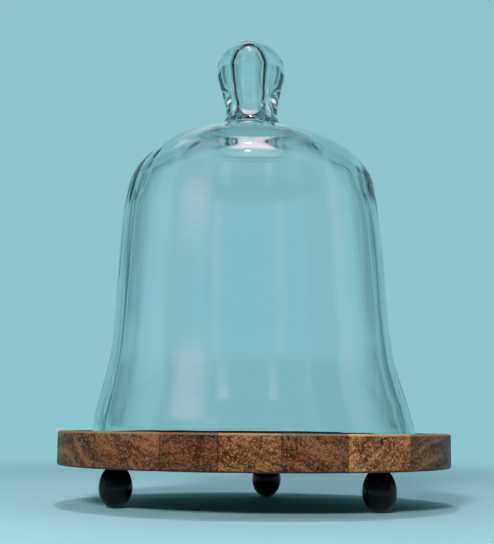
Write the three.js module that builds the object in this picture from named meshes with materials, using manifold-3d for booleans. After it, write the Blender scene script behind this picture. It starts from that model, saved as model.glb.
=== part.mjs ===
// A blown-glass bell cloche standing in the recess of a round glued-up wooden board on three ball feet.
// Millimetres, +Z up. The origin is on the floor, below the centre of the board.
import * as THREE from "three";
import { mergeVertices } from "three/addons/utils/BufferGeometryUtils.js";
import Module from "manifold-3d";

// Board
const BOARD_RADIUS = 127;
const BOARD_THICKNESS = 21.4;
const RECESS_RADIUS = 117.5;
const RECESS_DEPTH = 4;
const TOP_CHAMFER = 1.3;
const BOTTOM_CHAMFER = 1.0;
const LIP_CHAMFER = 0.8;
const STAVE_JOINTS = [-92, -52, -19.5, 15, 52, 90];
const GLUE_LINE = 0.1;

// Ball feet: the widest ring, and the two half-eggs above and below it
const FOOT_RADIUS = 10.5;
const FOOT_HEIGHT = 25.6;
const FOOT_WIDEST_HEIGHT = 12.3;
const FOOT_LOWER_SEMI_AXIS = 12.7;
const FOOT_UPPER_SEMI_AXIS = 14.6;
const FOOT_CIRCLE_RADIUS = 93.5;
const FEET = [
  { place: "front_left", angle: -114.2 },
  { place: "front_right", angle: 125.8 },
  { place: "back", angle: 5.8 },
];

// Dowel screws: a wood thread at each end, one end in the foot and one in the board
const SCREW_RADIUS = 2.4;
const SCREW_ROOT_RADIUS = 1.8;
const SCREW_PITCH = 2;
const SCREW_TIP_LENGTH = 3;
const SCREW_IN_FOOT = 17;
const SCREW_IN_BOARD = 13;
const SCREW_PLAIN_HALF = 1.5;
const SCREW_CLEARANCE = 0.3;

// Glass cloche: heights are above the underside of its rim
const RIM_RADIUS = 104.9;
const RIM_WALL = 8;
const RIM_CORNER = 1.5;
const SIDE_WALL = 6.3;
const SHOULDER_WALL = 7.6;
const CROWN_WALL = 5.6;
const SHOULDER_HEIGHT = 182;
const CROWN_HEIGHT = 206;
const NECK_RADIUS = 17;
const KNOB_RADIUS = 23.3;
const KNOB_CENTRE_HEIGHT = 248.7;
const KNOB_TOP_HEIGHT = 269.2;
const CAVITY_RADIUS = 9.4;
const CAVITY_WAIST_RADIUS = 8;
const CAVITY_TOP_HEIGHT = 262.2;
const CAVITY_DOME_HEIGHT = 11;
const RIM_GAP = 0.2;

const BOARD_BOTTOM = FOOT_HEIGHT + GLUE_LINE;
const BOARD_TOP = BOARD_BOTTOM + BOARD_THICKNESS;
const RECESS_FLOOR = BOARD_TOP - RECESS_DEPTH;

const BOARD_SEGMENTS = 96;
const GLASS_SEGMENTS = 40;
const FOOT_SEGMENTS = 20;
const SCREW_SEGMENTS = 10;

const wood = (colour) => new THREE.MeshStandardMaterial({ color: colour, roughness: 0.55, metalness: 0 });
const STAVE_COLOURS = [0x7a5438, 0x8a5d3c, 0x5d3a28, 0x744a30, 0x6a3f2b, 0x93633f, 0x6f4d35];
const BLACK_SATIN = new THREE.MeshStandardMaterial({ color: 0x101214, roughness: 0.35, metalness: 0 });
const ZINC = new THREE.MeshStandardMaterial({ color: 0xb9bcc0, roughness: 0.4, metalness: 1 });
const GLASS = new THREE.MeshStandardMaterial({
  color: 0xe8f4f2,
  roughness: 0.03,
  metalness: 0,
  transparent: true,
  opacity: 0.3,
});

const wasm = await Module();
wasm.setup();

const point = (radius, height) => new THREE.Vector2(radius, height);

// A turned solid about +Z. The profile runs up the outside, from the axis at the bottom to the axis at
// the top. LatheGeometry turns it about +Y, so the result is laid over.
function turned(profile, segments) {
  return new THREE.LatheGeometry(profile, segments).rotateX(Math.PI / 2);
}

// A closed mesh as a manifold solid, with shared vertices merged and the flat triangles on the axis dropped.
function toSolid(geometry) {
  const bare = geometry.clone();
  bare.deleteAttribute("normal");
  bare.deleteAttribute("uv");
  const merged = mergeVertices(bare, 1e-4);
  const triangles = [];
  for (let i = 0; i < merged.index.count; i += 3) {
    const [a, b, c] = [0, 1, 2].map((corner) => merged.index.getX(i + corner));
    if (a !== b && b !== c && c !== a) triangles.push(a, b, c);
  }
  return new wasm.Manifold(
    new wasm.Mesh({
      numProp: 3,
      vertProperties: new Float32Array(merged.attributes.position.array),
      triVerts: new Uint32Array(triangles),
    }),
  );
}

function toGeometry(solid) {
  const mesh = solid.getMesh();
  const geometry = new THREE.BufferGeometry();
  geometry.setAttribute("position", new THREE.BufferAttribute(new Float32Array(mesh.vertProperties), 3));
  geometry.setIndex(new THREE.BufferAttribute(new Uint32Array(mesh.triVerts), 1));
  geometry.computeVertexNormals();
  return geometry;
}

function named(name, geometry, material) {
  const mesh = new THREE.Mesh(geometry, material);
  mesh.name = name;
  return mesh;
}

// ---- Glass cloche ----

// The outside of the bell, from just above the rim to the crown: a flared skirt, a waist, a round shoulder.
const bellCurve = new THREE.SplineCurve([
  point(RIM_RADIUS, 4),
  point(103.9, 11),
  point(101, 23),
  point(96.9, 36.5),
  point(93.2, 52),
  point(91.1, 70),
  point(89.6, 95),
  point(87.9, 122),
  point(85.7, 146),
  point(83.4, 161),
  point(80.5, 172.5),
  point(74.4, 182.1),
  point(65.1, 190.1),
  point(54.2, 196.6),
  point(42, 201.7),
  point(35, CROWN_HEIGHT - 2.3),
]);

// From the crown up the fillet at the neck, and in one smooth curve round the knob to its top.
function knobOutline() {
  const capHeight = KNOB_TOP_HEIGHT - KNOB_CENTRE_HEIGHT;
  const cap = new THREE.EllipseCurve(0, KNOB_CENTRE_HEIGHT, KNOB_RADIUS, capHeight, 0, Math.PI / 2);
  const side = new THREE.SplineCurve([
    point(28, CROWN_HEIGHT - 0.2),
    point(23, CROWN_HEIGHT + 1.5),
    point(19.8, CROWN_HEIGHT + 4.8),
    point(NECK_RADIUS + 0.9, CROWN_HEIGHT + 9.5),
    point(NECK_RADIUS + 0.6, CROWN_HEIGHT + 16),
    point(NECK_RADIUS + 2.2, CROWN_HEIGHT + 24),
    point(KNOB_RADIUS - 2, KNOB_CENTRE_HEIGHT - 11),
    point(KNOB_RADIUS - 0.4, KNOB_CENTRE_HEIGHT - 5),
    ...cap.getPoints(5).slice(0, -1),
  ]);
  return [...side.getPoints(20), point(0, KNOB_TOP_HEIGHT)];
}

// The finger-shaped hollow in the knob, from its domed top down to the trumpet mouth in the crown.
function cavityOutline() {
  const widest = CAVITY_TOP_HEIGHT - CAVITY_DOME_HEIGHT;
  const dome = new THREE.EllipseCurve(0, widest, CAVITY_RADIUS, CAVITY_DOME_HEIGHT, Math.PI / 2, 0, true);
  const finger = new THREE.SplineCurve([
    point(CAVITY_RADIUS, widest),
    point(CAVITY_RADIUS * 0.95, CAVITY_TOP_HEIGHT - 21),
    point(CAVITY_WAIST_RADIUS + 0.6, CAVITY_TOP_HEIGHT - 28),
    point(CAVITY_WAIST_RADIUS, CAVITY_TOP_HEIGHT - 34),
    point(CAVITY_WAIST_RADIUS + 0.3, CAVITY_TOP_HEIGHT - 39),
    point(CAVITY_WAIST_RADIUS + 1.3, CAVITY_TOP_HEIGHT - 44),
    point(CAVITY_WAIST_RADIUS + 3.4, CAVITY_TOP_HEIGHT - 48.4),
    point(CAVITY_WAIST_RADIUS + 6.8, CAVITY_TOP_HEIGHT - 52.4),
    point(CAVITY_WAIST_RADIUS + 11.4, CAVITY_TOP_HEIGHT - 56.2),
    point(CAVITY_WAIST_RADIUS + 16.6, CAVITY_TOP_HEIGHT - 59.6),
    point(CAVITY_WAIST_RADIUS + 22, CAVITY_TOP_HEIGHT - 62.4),
  ]);
  return [point(0, CAVITY_TOP_HEIGHT), ...dome.getPoints(5).slice(1, -1), ...finger.getPoints(11)];
}

// Thickness of the glass at a height: thick at the rim, even up the side, thinner over the crown.
function wallAt(height) {
  const { lerp, smoothstep } = THREE.MathUtils;
  const skirt = lerp(RIM_WALL, SIDE_WALL, smoothstep(height, 15, 80));
  const side = lerp(skirt, SHOULDER_WALL, smoothstep(height, 150, SHOULDER_HEIGHT));
  return lerp(side, CROWN_WALL, smoothstep(height, SHOULDER_HEIGHT, CROWN_HEIGHT - 2));
}

// The inside of the bell: each point of the outside moved square to it by the wall's thickness.
function insideOf(outside) {
  return outside.map((here, i) => {
    const before = outside[Math.max(i - 1, 0)];
    const after = outside[Math.min(i + 1, outside.length - 1)];
    const along = after.clone().sub(before).normalize();
    return here.clone().add(point(-along.y, along.x).multiplyScalar(wallAt(here.y)));
  });
}

function glassCloche() {
  const outside = bellCurve.getPoints(19);
  const inside = insideOf(outside).reverse();
  const [c, inner] = [RIM_CORNER, RIM_RADIUS - RIM_WALL];
  const rim = [
    ...new THREE.EllipseCurve(inner + c, c, c, c, Math.PI, 1.5 * Math.PI).getPoints(2),
    ...new THREE.EllipseCurve(RIM_RADIUS - c, c, c, c, 1.5 * Math.PI, 2 * Math.PI).getPoints(2),
  ];
  const profile = [...cavityOutline(), ...inside, ...rim, ...outside, ...knobOutline()];
  const mesh = named("glass_cloche", turned(profile, GLASS_SEGMENTS), GLASS);
  mesh.position.z = RECESS_FLOOR + RIM_GAP;
  return mesh;
}

// ---- Board ----

function boardBlank() {
  const edge = BOARD_RADIUS;
  const profile = [
    point(0, BOARD_BOTTOM),
    point(edge - BOTTOM_CHAMFER, BOARD_BOTTOM),
    point(edge, BOARD_BOTTOM + BOTTOM_CHAMFER),
    point(edge, BOARD_TOP - TOP_CHAMFER),
    point(edge - TOP_CHAMFER, BOARD_TOP),
    point(RECESS_RADIUS + LIP_CHAMFER, BOARD_TOP),
    point(RECESS_RADIUS, BOARD_TOP - LIP_CHAMFER),
    point(RECESS_RADIUS, RECESS_FLOOR),
    point(0, RECESS_FLOOR),
  ];
  return toSolid(turned(profile, BOARD_SEGMENTS));
}

function footPlace(angle) {
  const turn = THREE.MathUtils.degToRad(angle);
  return [FOOT_CIRCLE_RADIUS * Math.sin(turn), FOOT_CIRCLE_RADIUS * Math.cos(turn)];
}

// The blind hole that a dowel screw sits in, reaching a little past the given end of the screw.
function screwHole(bottom, top) {
  const height = top - bottom;
  const radius = SCREW_RADIUS + SCREW_CLEARANCE;
  const hole = new THREE.CylinderGeometry(radius, radius, height, SCREW_SEGMENTS).rotateX(Math.PI / 2);
  return hole.translate(0, 0, bottom + height / 2);
}

function staves() {
  let blank = boardBlank();
  for (const { angle } of FEET) {
    const hole = screwHole(BOARD_BOTTOM - 1, BOARD_BOTTOM + SCREW_IN_BOARD + SCREW_CLEARANCE);
    blank = blank.subtract(toSolid(hole.translate(...footPlace(angle), 0)));
  }
  const reach = BOARD_RADIUS + 5;
  const edges = [-reach, ...STAVE_JOINTS, reach];
  return edges.slice(1).map((right, i) => {
    const width = right - edges[i] - GLUE_LINE;
    const slab = new THREE.BoxGeometry(width, 2 * reach, 2 * reach);
    slab.translate((right + edges[i]) / 2, 0, 0);
    const stave = blank.intersect(toSolid(slab));
    return named(`board_stave_${i + 1}`, toGeometry(stave), wood(STAVE_COLOURS[i]));
  });
}

// ---- Feet and their screws ----

function footGeometry() {
  const side = new THREE.Path();
  const lowerStart = -Math.asin(FOOT_WIDEST_HEIGHT / FOOT_LOWER_SEMI_AXIS);
  const upperEnd = Math.asin((FOOT_HEIGHT - FOOT_WIDEST_HEIGHT) / FOOT_UPPER_SEMI_AXIS);
  side.absellipse(0, FOOT_WIDEST_HEIGHT, FOOT_RADIUS, FOOT_LOWER_SEMI_AXIS, lowerStart, 0);
  side.absellipse(0, FOOT_WIDEST_HEIGHT, FOOT_RADIUS, FOOT_UPPER_SEMI_AXIS, 0, upperEnd);
  const profile = [point(0, 0), ...side.getPoints(3), point(0, FOOT_HEIGHT)];
  const foot = toSolid(turned(profile, FOOT_SEGMENTS));
  const hole = screwHole(FOOT_HEIGHT - SCREW_IN_FOOT - SCREW_CLEARANCE, FOOT_HEIGHT + 1);
  return toGeometry(foot.subtract(toSolid(hole)));
}

// One threaded end, from the plain middle out to its point, as heights along the screw.
function threadOutline(length) {
  const outline = [];
  for (let h = SCREW_PLAIN_HALF; h < length - SCREW_TIP_LENGTH - SCREW_PITCH; h += SCREW_PITCH) {
    outline.push(point(SCREW_ROOT_RADIUS, h));
    outline.push(point(SCREW_RADIUS, h + SCREW_PITCH / 2));
  }
  outline.push(point(SCREW_ROOT_RADIUS, length - SCREW_TIP_LENGTH), point(0, length));
  return outline;
}

function screwGeometry() {
  const upper = threadOutline(SCREW_IN_BOARD);
  const lower = threadOutline(SCREW_IN_FOOT).map(({ x, y }) => point(x, -y));
  return turned([...lower.reverse(), ...upper], SCREW_SEGMENTS);
}

const cloche = new THREE.Group();
cloche.add(...staves());
for (const { place, angle } of FEET) {
  const [x, y] = footPlace(angle);
  const foot = named(`ball_foot_${place}`, footGeometry(), BLACK_SATIN);
  const screw = named(`dowel_screw_${place}`, screwGeometry(), ZINC);
  foot.position.set(x, y, 0);
  screw.position.set(x, y, BOARD_BOTTOM - GLUE_LINE / 2);
  cloche.add(foot, screw);
}
cloche.add(glassCloche());

export default cloche;
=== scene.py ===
"""A blown-glass bell cloche on a footed acacia board, in a pale studio. Metres, in the frame's axes."""

import math

import bmesh
import bpy
from mathutils import Matrix, Vector, noise

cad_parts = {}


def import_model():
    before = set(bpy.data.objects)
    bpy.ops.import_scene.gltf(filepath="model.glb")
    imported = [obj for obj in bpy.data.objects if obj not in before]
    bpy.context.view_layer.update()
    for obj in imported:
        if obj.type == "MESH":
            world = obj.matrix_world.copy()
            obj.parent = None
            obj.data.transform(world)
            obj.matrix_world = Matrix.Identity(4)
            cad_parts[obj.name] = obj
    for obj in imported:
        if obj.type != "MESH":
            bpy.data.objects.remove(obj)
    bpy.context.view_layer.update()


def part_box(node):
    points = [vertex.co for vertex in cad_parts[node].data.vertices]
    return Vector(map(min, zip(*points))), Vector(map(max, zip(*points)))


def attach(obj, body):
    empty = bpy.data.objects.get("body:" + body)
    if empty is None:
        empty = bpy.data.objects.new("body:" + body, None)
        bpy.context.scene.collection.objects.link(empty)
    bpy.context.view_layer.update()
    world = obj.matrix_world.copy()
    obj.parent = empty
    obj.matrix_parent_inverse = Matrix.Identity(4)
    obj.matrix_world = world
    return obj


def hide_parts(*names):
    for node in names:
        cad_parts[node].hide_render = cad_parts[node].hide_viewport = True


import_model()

MM = 0.001
FEET = ("front_left", "front_right", "back")
STAVES = [f"board_stave_{i}" for i in range(1, 8)]

# Board: its outside comes from the staves, the rest repeats the design
BOARD_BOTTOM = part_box(STAVES[0])[0].z
BOARD_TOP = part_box(STAVES[0])[1].z
BOARD_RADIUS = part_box(STAVES[-1])[1].x
RECESS_RADIUS = 117.5 * MM
RECESS_DEPTH = 4 * MM
TOP_ROUNDING = 1.495 * MM
BOTTOM_ROUNDING = 1.4 * MM
LIP_ROUNDING = 0.9 * MM
RECESS_COVE = 1.2 * MM
BOARD_SEGMENTS = 288
SANDING_SLOW = 0.12 * MM
SANDING_FINE = 0.06 * MM

# Glass: where its rim stands, and its lean
RIM_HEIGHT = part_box("glass_cloche")[0].z
GLASS_LEAN = math.radians(0.8)
GLASS_SEGMENTS = 240

# Sizes of the glass in millimetres: heights are above the underside of the rim
RIM_RADIUS = 104.9
RIM_WALL = 8
RIM_CORNER = 1.5
SIDE_WALL = 6.3
SHOULDER_WALL = 7.6
CROWN_WALL = 5.6
SHOULDER_HEIGHT = 182
CROWN_HEIGHT = 206
NECK_RADIUS = 17
KNOB_RADIUS = 23.3
KNOB_CENTRE_HEIGHT = 248.7
KNOB_TOP_HEIGHT = 269.2
CAVITY_RADIUS = 9.4
CAVITY_WAIST_RADIUS = 8
CAVITY_TOP_HEIGHT = 262.2
CAVITY_DOME_HEIGHT = 11
KNOB_OFFSET = -0.8
HOLLOW_OFFSET = -0.9
BELLY_OFFSET = -1.3
CROWN_RISE = 1.7
STREAK_WAVE = 0.12
FINE_WAVE = 0.035
SKIRT_WAVE = 0.3

# Feet
FOOT_WIDEST_HEIGHT = 12.3 * MM
FOOT_LOWER_SEMI_AXIS = 12.7 * MM
FOOT_UPPER_SEMI_AXIS = 14.6 * MM

# Dowel screws
SCREW_RADIUS = 2.4 * MM
SCREW_ROOT_RADIUS = 1.7 * MM
SCREW_PITCH = 2 * MM
SCREW_TIP_LENGTH = 3 * MM
SCREW_TIP_RADIUS = 0.05 * MM
SCREW_STEP = 0.2 * MM
SCREW_CLEARANCE = 0.3 * MM
SCREW_HOLE_RADIUS = SCREW_RADIUS + SCREW_CLEARANCE


# ---- Mesh helpers ----

def spline(controls, samples, after=None):
    """Points along a Catmull-Rom curve through the control points. A point after the last one sets the
    direction in which the curve ends."""
    spans = len(controls) - 1
    held = [controls[0], *controls, after or controls[-1]]
    points = []
    for i in range(samples + 1):
        place = i / samples * spans
        k = min(int(place), spans - 1)
        t = place - k
        points.append(tuple(catmull_rom(t, *values) for values in zip(*held[k:k + 4])))
    return points


def catmull_rom(t, a, b, c, d):
    v0 = (c - a) / 2
    v1 = (d - b) / 2
    return (2 * b - 2 * c + v0 + v1) * t**3 + (-3 * b + 3 * c - 2 * v0 - v1) * t**2 + v0 * t + b


def arc(centre, radii, start, end, steps):
    """Points on an ellipse, angles in degrees from +radius towards +height."""
    points = []
    for i in range(steps + 1):
        angle = math.radians(start + (end - start) * i / steps)
        points.append((centre[0] + radii[0] * math.cos(angle), centre[1] + radii[1] * math.sin(angle)))
    return points


def smoothstep(value, low, high):
    t = min(max((value - low) / (high - low), 0), 1)
    return t * t * (3 - 2 * t)


def turned(name, profile, segments, shape=None):
    """A closed turned mesh. The profile is (radius, height) pairs and starts and ends on the axis.
    shape(radius, height, angle) gives each point's final place."""
    if shape is None:
        shape = lambda r, z, a: Vector((r * math.cos(a), r * math.sin(a), z))
    mesh = bmesh.new()
    bottom = mesh.verts.new(shape(*profile[0], 0))
    top = mesh.verts.new(shape(*profile[-1], 0))
    rings = []
    for radius, height in profile[1:-1]:
        angles = [2 * math.pi * i / segments for i in range(segments)]
        rings.append([mesh.verts.new(shape(radius, height, a)) for a in angles])
    for i in range(segments):
        j = (i + 1) % segments
        mesh.faces.new((bottom, rings[0][j], rings[0][i]))
        mesh.faces.new((top, rings[-1][i], rings[-1][j]))
        for low, high in zip(rings, rings[1:]):
            mesh.faces.new((low[i], low[j], high[j], high[i]))
    return to_object(name, mesh)


def to_object(name, mesh, smooth_angle=40):
    bmesh.ops.recalc_face_normals(mesh, faces=mesh.faces)
    data = bpy.data.meshes.new(name)
    mesh.to_mesh(data)
    mesh.free()
    data.polygons.foreach_set("use_smooth", [True] * len(data.polygons))
    data.set_sharp_from_angle(angle=math.radians(smooth_angle))
    obj = bpy.data.objects.new(name, data)
    bpy.context.scene.collection.objects.link(obj)
    return obj


def place_piece(obj, body, node, material):
    """Finishes a piece: gives it its material, hides the CAD node it stands for and puts it in its body.
    """
    obj.data.materials.clear()
    obj.data.materials.append(material)
    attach(obj, body)
    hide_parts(node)


# ---- Node helpers ----

class Nodes:
    """Short calls for building a node tree."""

    def __init__(self, tree):
        self.tree = tree
        tree.nodes.clear()

    def add(self, kind, **settings):
        node = self.tree.nodes.new(kind)
        for key, value in settings.items():
            setattr(node, key, value)
        return node

    def link(self, source, target):
        self.tree.links.new(source, target)

    def fill(self, socket, value):
        if isinstance(value, bpy.types.NodeSocket):
            self.link(value, socket)
        else:
            socket.default_value = value

    def math(self, operation, a, b=0.0):
        node = self.add("ShaderNodeMath", operation=operation)
        for socket, value in zip(node.inputs, (a, b)):
            self.fill(socket, value)
        return node.outputs[0]

    def plus(self, a, b):
        return self.math("ADD", a, b)

    def minus(self, a, b):
        return self.math("SUBTRACT", a, b)

    def times(self, a, b):
        return self.math("MULTIPLY", a, b)

    def vector(self, operation, a, b=(0, 0, 0)):
        node = self.add("ShaderNodeVectorMath", operation=operation)
        self.fill(node.inputs[0], a)
        self.fill(node.inputs[1], b)
        return node.outputs["Value" if operation == "LENGTH" else "Vector"]

    def split(self, vector):
        node = self.add("ShaderNodeSeparateXYZ")
        self.link(vector, node.inputs[0])
        return node.outputs

    def join(self, x, y, z):
        node = self.add("ShaderNodeCombineXYZ")
        for socket, value in zip(node.inputs, (x, y, z)):
            self.fill(socket, value)
        return node.outputs[0]

    def range(self, value, low, high, to_low=0.0, to_high=1.0, smooth=True):
        """The value's place between low and high, given out between to_low and to_high."""
        node = self.add("ShaderNodeMapRange", clamp=True)
        node.interpolation_type = "SMOOTHSTEP" if smooth else "LINEAR"
        for socket, part in zip(node.inputs, (value, low, high, to_low, to_high)):
            self.fill(socket, part)
        return node.outputs[0]

    def band(self, value, edges):
        """1 between the second and third edge, fading to 0 at the first and the last."""
        rise, top, top_end, fall = edges
        return self.times(self.range(value, rise, top), self.range(value, top_end, fall, 1.0, 0.0))

    def noise(self, vector, scale, detail, roughness, dimensions="3D", w=None):
        node = self.add("ShaderNodeTexNoise", noise_dimensions=dimensions)
        if vector is not None:
            self.link(vector, node.inputs["Vector"])
        if w is not None:
            self.link(w, node.inputs["W"])
        node.inputs["Scale"].default_value = scale
        node.inputs["Detail"].default_value = detail
        node.inputs["Roughness"].default_value = roughness
        return node.outputs[0]

    def ramp(self, value, stops):
        node = self.add("ShaderNodeValToRGB")
        elements = node.color_ramp.elements
        elements[0].position, elements[0].color = stops[0][0], (*stops[0][1], 1)
        elements[1].position, elements[1].color = stops[-1][0], (*stops[-1][1], 1)
        for position, colour in stops[1:-1]:
            elements.new(position).color = (*colour, 1)
        self.fill(node.inputs[0], value)
        return node.outputs[0]

    def mix(self, factor, a, b, blend="MIX"):
        node = self.add("ShaderNodeMix", data_type="RGBA", blend_type=blend)
        self.fill(node.inputs[0], factor)
        self.fill(node.inputs[6], (*a, 1) if isinstance(a, tuple) else a)
        self.fill(node.inputs[7], (*b, 1) if isinstance(b, tuple) else b)
        return node.outputs[2]

    def bump(self, height, distance, strength):
        node = self.add("ShaderNodeBump")
        node.inputs["Strength"].default_value = strength
        node.inputs["Distance"].default_value = distance
        self.link(height, node.inputs["Height"])
        return node.outputs[0]


def new_material(name):
    """A material with its nodes cleared, a Principled shader and its output."""
    material = bpy.data.materials.new(name)
    material.use_nodes = True
    nodes = Nodes(material.node_tree)
    shader = nodes.add("ShaderNodeBsdfPrincipled")
    output = nodes.add("ShaderNodeOutputMaterial")
    nodes.link(shader.outputs[0], output.inputs["Surface"])
    return material, nodes, shader, output


def object_position(nodes):
    return nodes.add("ShaderNodeTexCoord").outputs["Object"]


def distance_from_axis(nodes):
    x, y, _ = nodes.split(object_position(nodes))
    return nodes.vector("LENGTH", nodes.join(x, y, 0.0))


# ---- Glass ----

GLASS_TINT = (0.95, 0.988, 0.993, 1)
GLASS_DEPTH_COLOUR = (0.1, 0.62, 0.6, 1)
GLASS_DEPTH_DENSITY = 5.0
GLASS_IOR = 1.5


def glass_material():
    """Clear glass with a faint tint at its surface and a blue-green one that grows with its depth."""
    material, nodes, shader, output = new_material("clear_blown_glass")
    shader.inputs["Base Color"].default_value = GLASS_TINT
    shader.inputs["Roughness"].default_value = 0.0
    shader.inputs["IOR"].default_value = GLASS_IOR
    shader.inputs["Transmission Weight"].default_value = 1.0
    absorption = nodes.add("ShaderNodeVolumeAbsorption")
    absorption.inputs["Color"].default_value = GLASS_DEPTH_COLOUR
    absorption.inputs["Density"].default_value = GLASS_DEPTH_DENSITY
    nodes.link(absorption.outputs[0], output.inputs["Volume"])
    return material


def wall_at(height):
    """Thickness of the glass at a height: thick at the rim and the shoulder, thinner over the crown."""
    skirt = RIM_WALL + (SIDE_WALL - RIM_WALL) * smoothstep(height, 15, 80)
    side = skirt + (SHOULDER_WALL - skirt) * smoothstep(height, 150, SHOULDER_HEIGHT)
    return side + (CROWN_WALL - side) * smoothstep(height, SHOULDER_HEIGHT, CROWN_HEIGHT - 2)


def bell_outside():
    """Radius and height from the corner of the rim up to the crown."""
    return spline([
        (RIM_RADIUS + 0.3, RIM_CORNER),
        (RIM_RADIUS, 4),
        (103.9, 11),
        (101, 23),
        (96.9, 36.5),
        (93.2, 52),
        (91.1, 70),
        (89.6, 95),
        (87.9, 122),
        (85.7, 146),
        (83.4, 161),
        (80.5, 172.5),
        (74.4, 182.1),
        (65.1, 190.1),
        (54.2, 196.6),
        (42, 201.7),
        (35, CROWN_HEIGHT - 2.3),
    ], samples=90)


def knob_outside():
    """Radius and height from the middle of the crown up the neck and over the knob."""
    cap = arc((0, KNOB_CENTRE_HEIGHT), (KNOB_RADIUS, KNOB_TOP_HEIGHT - KNOB_CENTRE_HEIGHT), 0, 90, 5)
    controls = [
        (28, CROWN_HEIGHT - 0.2),
        (23, CROWN_HEIGHT + 1.5),
        (19.8, CROWN_HEIGHT + 4.8),
        (NECK_RADIUS + 0.9, CROWN_HEIGHT + 9.5),
        (NECK_RADIUS + 0.6, CROWN_HEIGHT + 16),
        (NECK_RADIUS + 2.2, CROWN_HEIGHT + 24),
        (KNOB_RADIUS - 2, KNOB_CENTRE_HEIGHT - 11),
        (KNOB_RADIUS - 0.4, KNOB_CENTRE_HEIGHT - 5),
        *cap[:-1],
    ]
    mirrored = (-cap[-2][0], cap[-2][1])
    return [*spline(controls, samples=88, after=mirrored), (0, KNOB_TOP_HEIGHT)]


def cavity_outline():
    """The finger-shaped hollow in the knob, from its domed top to the trumpet mouth in the crown."""
    widest = CAVITY_TOP_HEIGHT - CAVITY_DOME_HEIGHT
    dome = arc((0, widest), (CAVITY_RADIUS, CAVITY_DOME_HEIGHT), 90, 0, 18)
    finger = spline([
        (CAVITY_RADIUS, widest),
        (CAVITY_RADIUS * 0.95, CAVITY_TOP_HEIGHT - 21),
        (CAVITY_WAIST_RADIUS + 0.6, CAVITY_TOP_HEIGHT - 28),
        (CAVITY_WAIST_RADIUS, CAVITY_TOP_HEIGHT - 34),
        (CAVITY_WAIST_RADIUS + 0.3, CAVITY_TOP_HEIGHT - 39),
        (CAVITY_WAIST_RADIUS + 1.3, CAVITY_TOP_HEIGHT - 44),
        (CAVITY_WAIST_RADIUS + 3.4, CAVITY_TOP_HEIGHT - 48.4),
        (CAVITY_WAIST_RADIUS + 6.8, CAVITY_TOP_HEIGHT - 52.4),
        (CAVITY_WAIST_RADIUS + 11.4, CAVITY_TOP_HEIGHT - 56.2),
        (CAVITY_WAIST_RADIUS + 16.6, CAVITY_TOP_HEIGHT - 59.6),
        (CAVITY_WAIST_RADIUS + 22, CAVITY_TOP_HEIGHT - 62.4),
    ], samples=70)
    return [(0, CAVITY_TOP_HEIGHT), *dome[1:-1], *finger]


def inside_of(outside):
    """Each point of the outside moved square to it by the wall's thickness."""
    inside = []
    for i, (radius, height) in enumerate(outside):
        before = outside[max(i - 1, 0)]
        after = outside[min(i + 1, len(outside) - 1)]
        along = Vector((after[0] - before[0], after[1] - before[1])).normalized()
        wall = wall_at(height)
        inside.append((radius - along.y * wall, height + along.x * wall))
    return inside


def waves(radius, height, angle):
    """How far the slow waves of hand-blown work move a point of the glass outwards."""
    around = Vector((math.cos(angle), math.sin(angle), 0))
    streaks = noise.noise(around * 5.5 + Vector((0, 0, height / 75)))
    fine = noise.noise(around * 15 + Vector((3, 7, height / 38)))
    ripples = noise.noise(around * 2.2 + Vector((9, 2, height / 9)))
    skirt = 1 - smoothstep(height, 12, 60)
    calm = 1 - 0.6 * smoothstep(height, 170, CROWN_HEIGHT)
    free = calm * smoothstep(height, 2, 14) * smoothstep(radius, 4, 30)
    return free * (STREAK_WAVE * streaks + FINE_WAVE * fine + SKIRT_WAVE * ripples * skirt)


def blown(radius, height, angle):
    """A point of the glass in its final place, with its waves, its slight lean, off-centre knob, hollow
    and belly, and the left of the crown a little higher than the right."""
    r = (radius + waves(radius, height, angle)) * MM
    belly = smoothstep(height, -20, 60) * (1 - smoothstep(height, 150, SHOULDER_HEIGHT + 12))
    knob = smoothstep(height, CROWN_HEIGHT - 8, KNOB_CENTRE_HEIGHT)
    hollow = knob * (1 - smoothstep(radius, CAVITY_RADIUS + 1, CAVITY_RADIUS + 3))
    aside = (BELLY_OFFSET * belly + KNOB_OFFSET * knob + HOLLOW_OFFSET * hollow) * MM
    aside -= height * MM * math.sin(GLASS_LEAN)
    crown = smoothstep(height, SHOULDER_HEIGHT, CROWN_HEIGHT - 9)
    crown *= 1 - smoothstep(height, CROWN_HEIGHT, CROWN_HEIGHT + 20)
    raised = CROWN_RISE * crown * (1 - math.cos(angle)) / 2
    z = RIM_HEIGHT + (height + raised) * MM
    return Vector((r * math.cos(angle) + aside, r * math.sin(angle), z))


def glass_cloche():
    """The dome and its knob as one closed shell: hollow, inside, rim, outside and knob in one profile."""
    outside = bell_outside()
    inside = inside_of(outside)[::-1]
    corner = inside[-1][1]
    rim = [
        *arc((inside[-1][0] + corner, corner), (corner, corner), 200, 270, 4),
        *arc((outside[0][0] - RIM_CORNER, RIM_CORNER), (RIM_CORNER, RIM_CORNER), 270, 350, 6),
    ]
    profile = [*cavity_outline(), *inside, *rim, *outside, *knob_outside()]
    obj = turned("blown_glass_cloche", profile, GLASS_SEGMENTS, blown)
    place_piece(obj, "cloche", "glass_cloche", glass_material())


# ---- Board ----

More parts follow.
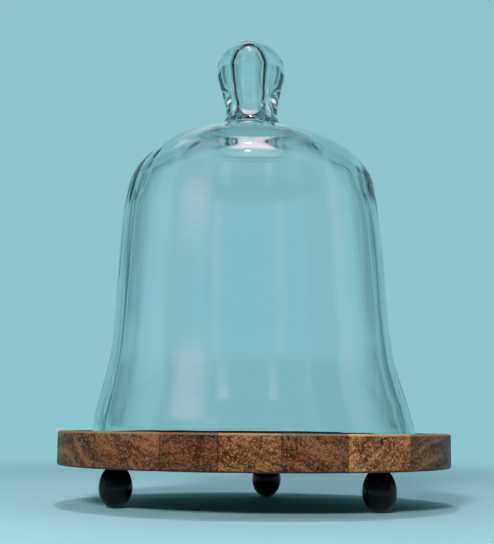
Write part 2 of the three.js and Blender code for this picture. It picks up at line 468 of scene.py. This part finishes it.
# For each stave: the place of its heart across and above the board (metres), then its dark, middle and
# light colours. The rings of the tree run round the heart.
ACACIA_PALE = ((0.021, 0.008, 0.003), (0.140, 0.055, 0.020), (0.35, 0.168, 0.068))
ACACIA_TAN = ((0.017, 0.006, 0.002), (0.086, 0.033, 0.012), (0.22, 0.101, 0.043))
ACACIA_BROWN = ((0.011, 0.004, 0.002), (0.062, 0.024, 0.010), (0.165, 0.074, 0.033))
ACACIA_DARK = ((0.006, 0.002, 0.001), (0.041, 0.016, 0.007), (0.118, 0.051, 0.023))
STAVE_LOOKS = [
    ((-0.150, -0.030), ACACIA_BROWN),
    ((-0.048, 0.075), ACACIA_BROWN),
    ((-0.030, -0.020), ACACIA_DARK),
    ((0.020, 0.090), ACACIA_TAN),
    ((0.020, -0.012), ACACIA_BROWN),
    ((0.040, 0.060), ACACIA_PALE),
    ((0.140, -0.040), ACACIA_TAN),
]

# Scales of the wood's patterns, and how far each is drawn out along the grain (1 is not at all)
FIBRE_SCALE, FIBRE_STRETCH = 900, 0.035
RING_SCALE = 190
WARP_SCALE, WARP_STRETCH = 22, 0.3
CLOUD_SCALE, CLOUD_STRETCH = 60, 0.16
HUE_SCALE, HUE_STRETCH = 75, 0.3
PORE_SCALE, PORE_STRETCH = 760, 0.07
STAVE_SHIFT = 0.7
RING_SWAY = 22 * MM
DARKEST_TONE, PALEST_TONE = 0.79, 1.14

# Every pore cell has a random value from 0 to 1: the pore is open above the first, and it has a sleeve
# within the second of it
PORE_MIDDLE = 0.4
SLEEVE_REACH = 0.32

# Pale pore sleeves, and the painted highlight and painted shade on the board's edges and in its recess
SLEEVE_LIGHTNESS = 1.4
EDGE_HIGHLIGHT_LIGHTNESS = 1.7
PAINTED_RECESS_SHADE_COLOUR = (0.004, 0.004, 0.005)
PAINTED_BOTTOM_EDGE_SHADE = (0.03, 0.008, 0.006)


def along_grain(nodes, position, stretch):
    return nodes.vector("MULTIPLY", position, (1, stretch, 1))


def scaled(colour, lightness):
    return tuple(c * lightness for c in colour)


def wood_material(name, heart, palette, seed, edges):
    """Acacia cut from a tree whose rings run along Y round the heart: rings and pores show as dots and
    arcs on end grain and as long streaks on the faces."""
    dark, middle, light = palette
    almost_black = scaled(dark, 0.3)
    material, nodes, shader, _ = new_material(name)
    position = nodes.vector("ADD", object_position(nodes), (0, seed * STAVE_SHIFT, 0))
    x, _, z = nodes.split(position)
    fibres = nodes.noise(along_grain(nodes, position, FIBRE_STRETCH), FIBRE_SCALE, 3, 0.7)
    tone = wood_tone(nodes, position, heart, fibres)
    colour = nodes.ramp(tone, [(0.0, dark), (0.5, middle), (0.95, light), (1.0, light)])
    hue = nodes.noise(along_grain(nodes, position, HUE_STRETCH), HUE_SCALE, 2, 0.5)
    hue = nodes.ramp(hue, [(0.35, (0.88, 1.0, 0.95)), (0.65, (1.16, 0.96, 0.86))])
    colour = nodes.mix(1.0, colour, hue, "MULTIPLY")
    pores, sleeves = pore_cells(nodes, along_grain(nodes, position, PORE_STRETCH))
    colour = nodes.mix(nodes.times(sleeves, 0.75), colour, scaled(light, SLEEVE_LIGHTNESS))
    colour = nodes.mix(nodes.times(pores, 0.95), colour, almost_black)
    colour = nodes.mix(glue_line(nodes, x, edges), colour, almost_black)
    # Painted shade: the recess wall and its corner darkened as if in shadow
    colour = nodes.mix(painted_recess_shade(nodes), colour, PAINTED_RECESS_SHADE_COLOUR)
    # Painted highlight on the top edge and painted shade on the bottom edge
    colour = edge_highlight_and_shade(nodes, z, colour, light)
    nodes.link(colour, shader.inputs["Base Color"])
    rough = nodes.plus(nodes.range(fibres, 0.3, 0.7, 0.4, 0.56), nodes.times(pores, 0.2))
    nodes.link(rough, shader.inputs["Roughness"])
    shader.inputs["Specular IOR Level"].default_value = 0.2
    height = nodes.minus(nodes.times(fibres, 0.35), pores)
    nodes.link(nodes.bump(height, 0.00025, 0.7), shader.inputs["Normal"])
    return material


def wood_tone(nodes, position, heart, fibres):
    """Lightness of the wood, 0 to 1: wavering rings round the heart, broad clouds and fine fibres."""
    warp = nodes.noise(along_grain(nodes, position, WARP_STRETCH), WARP_SCALE, 3, 0.6)
    sway = nodes.times(nodes.minus(warp, 0.5), RING_SWAY)
    x, _, z = nodes.split(position)
    from_heart = nodes.join(nodes.minus(x, heart[0]), 0.0, nodes.minus(z, heart[1]))
    distance = nodes.plus(nodes.vector("LENGTH", from_heart), sway)
    rings = nodes.noise(None, RING_SCALE, 3, 0.6, dimensions="1D", w=distance)
    clouds = nodes.noise(along_grain(nodes, position, CLOUD_STRETCH), CLOUD_SCALE, 3, 0.55)
    tone = nodes.plus(nodes.times(rings, 0.55), nodes.times(clouds, 0.6))
    tone = nodes.plus(tone, nodes.times(fibres, 0.8))
    return nodes.range(tone, DARKEST_TONE, PALEST_TONE, smooth=False)


def pore_cells(nodes, along):
    """Open pores, many in a pale sleeve: dots across the grain, long dashes along it. Returns the dark
    middles and the pale sleeves."""
    cells = nodes.add("ShaderNodeTexVoronoi", feature="F1")
    nodes.link(along, cells.inputs["Vector"])
    cells.inputs["Scale"].default_value = PORE_SCALE
    cells.inputs["Randomness"].default_value = 1.0
    kind = nodes.split(cells.outputs["Color"])[0]
    distance = cells.outputs["Distance"]
    open_pore = nodes.math("GREATER_THAN", kind, PORE_MIDDLE)
    dark = nodes.times(nodes.range(distance, 0.14, 0.3, 1.0, 0.0), open_pore)
    off_middle = nodes.math("ABSOLUTE", nodes.minus(kind, PORE_MIDDLE))
    sleeved = nodes.math("LESS_THAN", off_middle, SLEEVE_REACH)
    pale = nodes.times(nodes.range(distance, 0.2, 0.55, 1.0, 0.0), sleeved)
    return dark, pale


def glue_line(nodes, x, edges):
    """0.5 in the thin dark line where the stave meets its neighbours."""
    low = nodes.math("ABSOLUTE", nodes.minus(x, edges[0]))
    high = nodes.math("ABSOLUTE", nodes.minus(x, edges[1]))
    return nodes.range(nodes.math("MINIMUM", low, high), 0.1 * MM, 0.35 * MM, 0.5, 0.0)


def painted_recess_shade(nodes):
    """Near 1 on the recess wall and in the corner below it: painted shade that darkens the wood there."""
    _, _, z = nodes.split(object_position(nodes))
    radius = distance_from_axis(nodes)
    start = nodes.range(radius, RECESS_RADIUS - 3 * MM, RECESS_RADIUS - 0.3 * MM)
    end = nodes.range(radius, RECESS_RADIUS + 0.6 * MM, RECESS_RADIUS + 1 * MM, 0.94, 0.0)
    above_underside = nodes.math("GREATER_THAN", z, BOARD_BOTTOM + 1 * MM)
    return nodes.times(nodes.times(start, end), above_underside)


def edge_highlight_and_shade(nodes, z, colour, light):
    """A painted highlight that makes the wood paler on the board's top edge, and painted shade that
    darkens its bottom edge.
    """
    radius = distance_from_axis(nodes)
    outer = nodes.range(radius, RECESS_RADIUS + 1 * MM, RECESS_RADIUS + 2 * MM)
    upper = nodes.range(z, BOARD_TOP - 1.6 * MM, BOARD_TOP - 0.5 * MM, 0.0, 0.75)
    highlighted = nodes.mix(nodes.times(upper, outer), colour, scaled(light, EDGE_HIGHLIGHT_LIGHTNESS))
    lower = nodes.range(z, BOARD_BOTTOM + 0.5 * MM, BOARD_BOTTOM + 1.5 * MM, 0.8, 0.0)
    return nodes.mix(lower, highlighted, PAINTED_BOTTOM_EDGE_SHADE)


def board_profile():
    """Half section of the board: underside, outer edge, top, recess wall and recess floor."""
    edge = BOARD_RADIUS
    floor = BOARD_TOP - RECESS_DEPTH
    bottom, top, lip, cove = BOTTOM_ROUNDING, TOP_ROUNDING, LIP_ROUNDING, RECESS_COVE
    return [
        (0, BOARD_BOTTOM),
        (edge * 0.5, BOARD_BOTTOM),
        (edge * 0.9, BOARD_BOTTOM),
        *arc((edge - bottom, BOARD_BOTTOM + bottom), (bottom, bottom), -90, 0, 5),
        (edge, (BOARD_BOTTOM + BOARD_TOP) / 2),
        *arc((edge - top, BOARD_TOP - top), (top, top), 0, 90, 5),
        *arc((RECESS_RADIUS + lip, BOARD_TOP - lip), (lip, lip), 90, 180, 5),
        *arc((RECESS_RADIUS - cove, floor + cove), (cove, cove), 0, -90, 4),
        (edge * 0.6, floor),
        (edge * 0.3, floor),
        (0, floor),
    ]


def sanded(radius, height, angle):
    """A point of the board with the slight unevenness of hand sanding on its edge."""
    around = Vector((math.cos(angle), math.sin(angle), 0))
    rim = smoothstep(radius, RECESS_RADIUS - 1 * MM, BOARD_RADIUS)
    slow = noise.noise(around * 3 + Vector((0, 0, height * 40)))
    fine = noise.noise(around * 14 + Vector((4, 1, height * 120)))
    r = radius + rim * (SANDING_SLOW * slow + SANDING_FINE * fine)
    return Vector((r * math.cos(angle), r * math.sin(angle), height))


def cut_stave(board, low, high, name):
    """The part of the board between two planes across X, closed again where it was cut."""
    mesh = bmesh.new()
    mesh.from_mesh(board)
    for x, side in ((low, -1), (high, 1)):
        if abs(x) > BOARD_RADIUS - 1 * MM:
            continue
        parts = [*mesh.verts, *mesh.edges, *mesh.faces]
        cut = bmesh.ops.bisect_plane(
            mesh, geom=parts, plane_co=(x, 0, 0), plane_no=(side, 0, 0), clear_outer=True, dist=1e-7
        )
        rim = [part for part in cut["geom_cut"] if isinstance(part, bmesh.types.BMEdge)]
        bmesh.ops.contextual_create(mesh, geom=rim)
    bmesh.ops.triangulate(mesh, faces=[face for face in mesh.faces if len(face.verts) > 4])
    return to_object(name, mesh, 35)


def drill(obj, centre, radius, low, high):
    """Cuts a round hole from low to high into a piece."""
    tool_mesh = bmesh.new()
    bmesh.ops.create_cone(
        tool_mesh, cap_ends=True, segments=32, radius1=radius, radius2=radius, depth=high - low
    )
    bmesh.ops.translate(tool_mesh, verts=tool_mesh.verts, vec=(*centre, (low + high) / 2))
    tool = to_object("drill", tool_mesh)
    cut = obj.modifiers.new("hole", "BOOLEAN")
    cut.operation = "DIFFERENCE"
    cut.solver = "EXACT"
    cut.object = tool
    graph = bpy.context.evaluated_depsgraph_get()
    drilled = bpy.data.meshes.new_from_object(obj.evaluated_get(graph))
    obj.modifiers.clear()
    obj.data = drilled
    bpy.data.objects.remove(tool)


def foot_centre(place):
    low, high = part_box(f"ball_foot_{place}")
    return (low.x + high.x) / 2, (low.y + high.y) / 2


def board():
    """The staves, cut from one turned board and drilled for the screws."""
    whole = turned("board", board_profile(), BOARD_SEGMENTS, sanded)
    for number, (node, look) in enumerate(zip(STAVES, STAVE_LOOKS), 1):
        low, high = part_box(node)
        stave = cut_stave(whole.data, low.x, high.x, f"acacia_stave_{number}")
        for place in FEET:
            x, y = foot_centre(place)
            if low.x < x < high.x:
                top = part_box(f"dowel_screw_{place}")[1].z
                drill(stave, (x, y), SCREW_HOLE_RADIUS, BOARD_BOTTOM - 1 * MM, top + SCREW_CLEARANCE)
        heart, palette = look
        material = wood_material(f"acacia_{number}", heart, palette, number, (low.x, high.x))
        place_piece(stave, "base", node, material)
    bpy.data.objects.remove(whole)


# ---- Feet and screws ----

def black_lacquer():
    material, nodes, shader, _ = new_material("black_satin_lacquer")
    position = object_position(nodes)
    grain = nodes.noise(nodes.vector("MULTIPLY", position, (1, 1, 0.12)), 900, 3, 0.55)
    cloud = nodes.noise(position, 120, 2, 0.5)
    nodes.link(nodes.ramp(cloud, [(0.3, (0.002, 0.0025, 0.003)), (0.7, (0.005, 0.006, 0.006))]),
               shader.inputs["Base Color"])
    nodes.link(nodes.range(grain, 0.3, 0.7, 0.16, 0.24), shader.inputs["Roughness"])
    shader.inputs["Specular IOR Level"].default_value = 0.2
    nodes.link(nodes.bump(grain, 0.00006, 0.4), shader.inputs["Normal"])
    return material


def zinc_steel():
    material, nodes, shader, _ = new_material("zinc_plated_steel")
    position = object_position(nodes)
    cloud = nodes.noise(position, 400, 3, 0.6)
    nodes.link(nodes.ramp(cloud, [(0.3, (0.45, 0.46, 0.48)), (0.7, (0.62, 0.63, 0.65))]),
               shader.inputs["Base Color"])
    nodes.link(nodes.range(cloud, 0.3, 0.7, 0.3, 0.5), shader.inputs["Roughness"])
    shader.inputs["Metallic"].default_value = 1.0
    return material


def ball_foot(place, material):
    """An egg-shaped ball foot with a blind hole in its top for the screw."""
    low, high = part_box(f"ball_foot_{place}")
    x, y = foot_centre(place)
    radius = (high.x - low.x) / 2
    top = high.z
    centre = (0, FOOT_WIDEST_HEIGHT)
    start = -math.degrees(math.asin(FOOT_WIDEST_HEIGHT / FOOT_LOWER_SEMI_AXIS))
    end = math.degrees(math.asin((top - FOOT_WIDEST_HEIGHT) / FOOT_UPPER_SEMI_AXIS))
    hole_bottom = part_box(f"dowel_screw_{place}")[0].z - SCREW_CLEARANCE
    profile = [
        (0, 0),
        *arc(centre, (radius, FOOT_LOWER_SEMI_AXIS), start, 0, 18),
        *arc(centre, (radius, FOOT_UPPER_SEMI_AXIS), 0, end, 18)[1:],
        (SCREW_HOLE_RADIUS, top),
        (SCREW_HOLE_RADIUS, hole_bottom),
        (0, hole_bottom),
    ]
    foot = turned(f"lacquered_foot_{place}", profile, 72)
    foot.location = (x, y, 0)
    place_piece(foot, "base", f"ball_foot_{place}", material)


def dowel_screw(place, material):
    """A screw with a helical wood thread at both ends and a plain middle."""
    low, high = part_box(f"dowel_screw_{place}")
    x, y = foot_centre(place)
    steps = int((high.z - low.z) / SCREW_STEP)

    def threaded(radius, height, angle):
        lower_tip = smoothstep(height, low.z, low.z + SCREW_TIP_LENGTH)
        upper_tip = smoothstep(-height, -high.z, -high.z + SCREW_TIP_LENGTH)
        plain = 1 - smoothstep(abs(height - BOARD_BOTTOM), 1 * MM, 2 * MM)
        turn = (height / SCREW_PITCH - angle / (2 * math.pi)) % 1
        crest = max(1 - abs(turn - 0.5) * 5, 0) * (1 - plain)
        body = SCREW_ROOT_RADIUS + (SCREW_RADIUS - SCREW_ROOT_RADIUS) * max(crest, plain * 0.4)
        r = max(body * lower_tip * upper_tip, radius)
        return Vector((r * math.cos(angle), r * math.sin(angle), height))

    heights = [low.z + (high.z - low.z) * i / steps for i in range(1, steps)]
    profile = [(0, low.z), *((SCREW_TIP_RADIUS, height) for height in heights), (0, high.z)]
    screw = turned(f"zinc_dowel_screw_{place}", profile, 36, threaded)
    screw.location = (x, y, 0)
    place_piece(screw, "base", f"dowel_screw_{place}", material)


def feet():
    lacquer = black_lacquer()
    zinc = zinc_steel()
    for place in FEET:
        ball_foot(place, lacquer)
        dowel_screw(place, zinc)


# ---- Studio ----

PAPER = (0.335, 0.63, 0.685)
BACKDROP = (0.262, 0.560, 0.590)
SIDE_PANEL = (0.42, 0.60, 0.63)
FLANK = (0.20, 0.47, 0.49)
FRONT_WALL = (0.06, 0.15, 0.16)
CEILING = (0.32, 0.42, 0.44)
SHADE = (0.07, 0.21, 0.22)
DARK = (0.012, 0.022, 0.024)

# Soft lit windows on the studio's walls and ceiling: compass direction and half width, elevation and
# half height (degrees), and colour. 0 is behind the object, 90 to its right, 180 in front.
WINDOWS = [
    (-128, 22, 25, 13, (1.7, 0.95, 1.15)),
    (-151, 7, 18, 9, (0.7, 0.45, 0.5)),
    (156, 7, 18, 9, (0.55, 0.35, 0.4)),
    (96, 9, 20, 8, (0.7, 0.45, 0.5)),
    (178, 130, 52, 18, (0.5, 0.45, 0.48)),
    (-156, 8, 34, 6, (1.3, 1.1, 1.15)),
    (163, 6, 34, 5, (1.2, 1.05, 1.1)),
    (175, 60, 79, 14, (2.6, 1.7, 1.9)),
    (-7, 26, 44, 10, (1.0, 0.9, 0.97)),
]
LIGHT_AIM = Vector((0, 0, 0.12))

# Where the walls change, as the ends of each fade. Across is how far to the side: 0 straight behind or
# in front, 1 at the sides. Ahead is how far behind the object. Height is how far up: 1 is straight up.
SIDE_WALLS_ACROSS = (0.85, 0.98)
FRONT_WALL_AHEAD = (-0.7, -0.5)
FRONT_WALL_HEIGHT = (0.02, 0.1)
FLANKS_ACROSS = (0.24, 0.34)
FLANKS_AHEAD = (0.0, 0.1)
FLANKS_HEIGHT = (0.01, 0.05)
CEILING_HEIGHT = (0.84, 0.92)
NEAR_GAP_ACROSS = (0.59, 0.62, 0.69, 0.73)
NEAR_GAP_HEIGHT = (-0.01, 0.03, 0.4, 0.5)
FAR_GAP_ACROSS = (0.75, 0.78, 0.96, 0.975)
FAR_GAP_HEIGHT = (0.09, 0.15, 0.7, 0.8)
CORNICE_HEIGHT = (0.77, 0.80)
CORNICE_AHEAD = (0.05, 0.15)

# The floor's radius, and the distances from the object between which it fades into the walls
FLOOR_RADIUS = 20
FLOOR_FADE = (0.3, 1.1)


def wall_colour(nodes, direction):
    """How far to the side a direction is, and the colour of the pale wall there: one for the walls
    behind and in front, one for the side walls."""
    x, y, _ = nodes.split(direction)
    flat = nodes.vector("LENGTH", nodes.join(x, y, 0.0))
    across = nodes.math("DIVIDE", nodes.math("ABSOLUTE", x), nodes.math("MAXIMUM", flat, 0.0001))
    return across, nodes.mix(nodes.range(across, *SIDE_WALLS_ACROSS), BACKDROP, SIDE_PANEL)


def window_mask(nodes, direction, compass, half_width, elevation, half_height):
    """1 in the middle of a window, fading softly to 0 at its edges."""
    x, y, z = nodes.split(direction)
    angle = math.radians(compass)
    ahead = nodes.plus(nodes.times(x, math.sin(angle)), nodes.times(y, math.cos(angle)))
    aside = nodes.minus(nodes.times(x, math.cos(angle)), nodes.times(y, math.sin(angle)))
    turn = nodes.math("ABSOLUTE", nodes.math("ARCTAN2", aside, ahead))
    above = nodes.minus(nodes.math("ARCSINE", z), math.radians(elevation))
    rise = nodes.math("ABSOLUTE", above)
    width, height = math.radians(half_width), math.radians(half_height)
    return nodes.times(nodes.range(turn, width * 0.2, width, 1.0, 0.0),
                       nodes.range(rise, height * 0.1, height, 1.0, 0.0))


def world():
    """The walls, with deeper flanks behind the object and a dark front, two dark gaps on each side
    above the floor, a dark cornice behind, a grey ceiling, and the soft windows over them all."""
    studio = bpy.data.worlds.new("studio")
    studio.use_nodes = True
    nodes = Nodes(studio.node_tree)
    direction = nodes.vector("NORMALIZE", nodes.add("ShaderNodeTexCoord").outputs["Generated"])
    _, ahead, height = nodes.split(direction)
    across, colour = wall_colour(nodes, direction)
    front = nodes.range(ahead, *FRONT_WALL_AHEAD, 1.0, 0.0)
    front = nodes.times(front, nodes.range(height, *FRONT_WALL_HEIGHT))
    colour = nodes.mix(front, colour, FRONT_WALL)
    behind = nodes.times(nodes.range(ahead, *FLANKS_AHEAD), nodes.range(height, *FLANKS_HEIGHT))
    colour = nodes.mix(nodes.times(nodes.range(across, *FLANKS_ACROSS), behind), colour, FLANK)
    colour = nodes.mix(nodes.range(height, *CEILING_HEIGHT), colour, CEILING)
    near = nodes.times(nodes.band(across, NEAR_GAP_ACROSS), nodes.band(height, NEAR_GAP_HEIGHT))
    colour = nodes.mix(near, colour, SHADE)
    far = nodes.times(nodes.band(across, FAR_GAP_ACROSS), nodes.band(height, FAR_GAP_HEIGHT))
    cornice = nodes.times(nodes.range(height, *CORNICE_HEIGHT), nodes.range(ahead, *CORNICE_AHEAD))
    colour = nodes.mix(nodes.math("MAXIMUM", far, cornice), colour, DARK)
    for *place, light in WINDOWS:
        colour = nodes.mix(window_mask(nodes, direction, *place), colour, light)
    background = nodes.add("ShaderNodeBackground")
    nodes.link(colour, background.inputs["Color"])
    output = nodes.add("ShaderNodeOutputWorld")
    nodes.link(background.outputs[0], output.inputs["Surface"])
    bpy.context.scene.world = studio


def floor():
    """A pale floor that fades into the walls on every side."""
    mesh = bmesh.new()
    bmesh.ops.create_circle(mesh, cap_ends=True, segments=96, radius=FLOOR_RADIUS)
    obj = to_object("floor", mesh)
    material, nodes, shader, output = new_material("pale_paper")
    position = object_position(nodes)
    mottle = nodes.noise(position, 9, 4, 0.6)
    shade = nodes.ramp(mottle, [(0.3, scaled(PAPER, 0.96)), (0.7, PAPER)])
    nodes.link(shade, shader.inputs["Base Color"])
    shader.inputs["Roughness"].default_value = 0.8
    shader.inputs["Specular IOR Level"].default_value = 0.2
    glow = nodes.add("ShaderNodeEmission")
    nodes.link(wall_colour(nodes, position)[1], glow.inputs["Color"])
    fade = nodes.add("ShaderNodeMixShader")
    nodes.link(nodes.range(nodes.vector("LENGTH", position), *FLOOR_FADE), fade.inputs[0])
    nodes.link(shader.outputs[0], fade.inputs[1])
    nodes.link(glow.outputs[0], fade.inputs[2])
    nodes.link(fade.outputs[0], output.inputs["Surface"])
    obj.data.materials.append(material)


def softbox(name, place, size, power, colour, reflected):
    """A soft light aimed at the object. The glass and the lacquer show it only if it is reflected."""
    light = bpy.data.lights.new(name, "AREA")
    light.shape = "RECTANGLE"
    light.size, light.size_y = size
    light.energy = power
    light.color = colour
    obj = bpy.data.objects.new(name, light)
    obj.location = place
    obj.rotation_euler = (LIGHT_AIM - Vector(place)).to_track_quat("-Z", "Y").to_euler()
    obj.visible_camera = False
    obj.visible_glossy = reflected
    obj.visible_transmission = reflected
    bpy.context.scene.collection.objects.link(obj)


def lights():
    softbox("overhead_key", place=(-0.06, -0.22, 1.5), size=(0.08, 0.08), power=5.5,
            colour=(1, 0.93, 0.91), reflected=True)
    softbox("front_fill", place=(-0.3, -1.45, 0.62), size=(0.3, 0.15), power=27.0,
            colour=(1, 0.93, 0.90), reflected=False)


# Where the photographer stood: distance from the axis, height above the board's top, and the aim, which
# is tilted up, with its angles in radians
CAMERA_DISTANCE = 721.6 * MM
CAMERA_ABOVE_BOARD = 3.6 * MM
CAMERA_PITCH = math.radians(8.085)
CAMERA_YAW = -0.0078
CAMERA_ROLL = math.radians(0.55)
CAMERA_FOCAL_LENGTH = 71.95


def camera():
    data = bpy.data.cameras.new("camera")
    data.lens = CAMERA_FOCAL_LENGTH
    data.sensor_width = 36
    obj = bpy.data.objects.new("camera", data)
    forward = Vector((math.sin(CAMERA_YAW) * math.cos(CAMERA_PITCH),
                      math.cos(CAMERA_YAW) * math.cos(CAMERA_PITCH),
                      math.sin(CAMERA_PITCH)))
    level = Vector((math.cos(CAMERA_YAW), -math.sin(CAMERA_YAW), 0))
    upright = level.cross(forward)
    right = level * math.cos(CAMERA_ROLL) + upright * math.sin(CAMERA_ROLL)
    up = upright * math.cos(CAMERA_ROLL) - level * math.sin(CAMERA_ROLL)
    turn = Matrix((right, up, -forward)).transposed().to_4x4()
    obj.matrix_world = Matrix.Translation((0, -CAMERA_DISTANCE, BOARD_TOP + CAMERA_ABOVE_BOARD)) @ turn
    bpy.context.scene.collection.objects.link(obj)
    bpy.context.scene.camera = obj


def render_look():
    """Enough light bounces for the double glass wall, and plain colours."""
    scene = bpy.context.scene
    scene.cycles.max_bounces = 24
    scene.cycles.transmission_bounces = 24
    scene.cycles.glossy_bounces = 12
    scene.cycles.use_denoising = True
    scene.view_settings.view_transform = "Standard"


camera()
glass_cloche()
board()
feet()
floor()
world()
lights()
render_look()
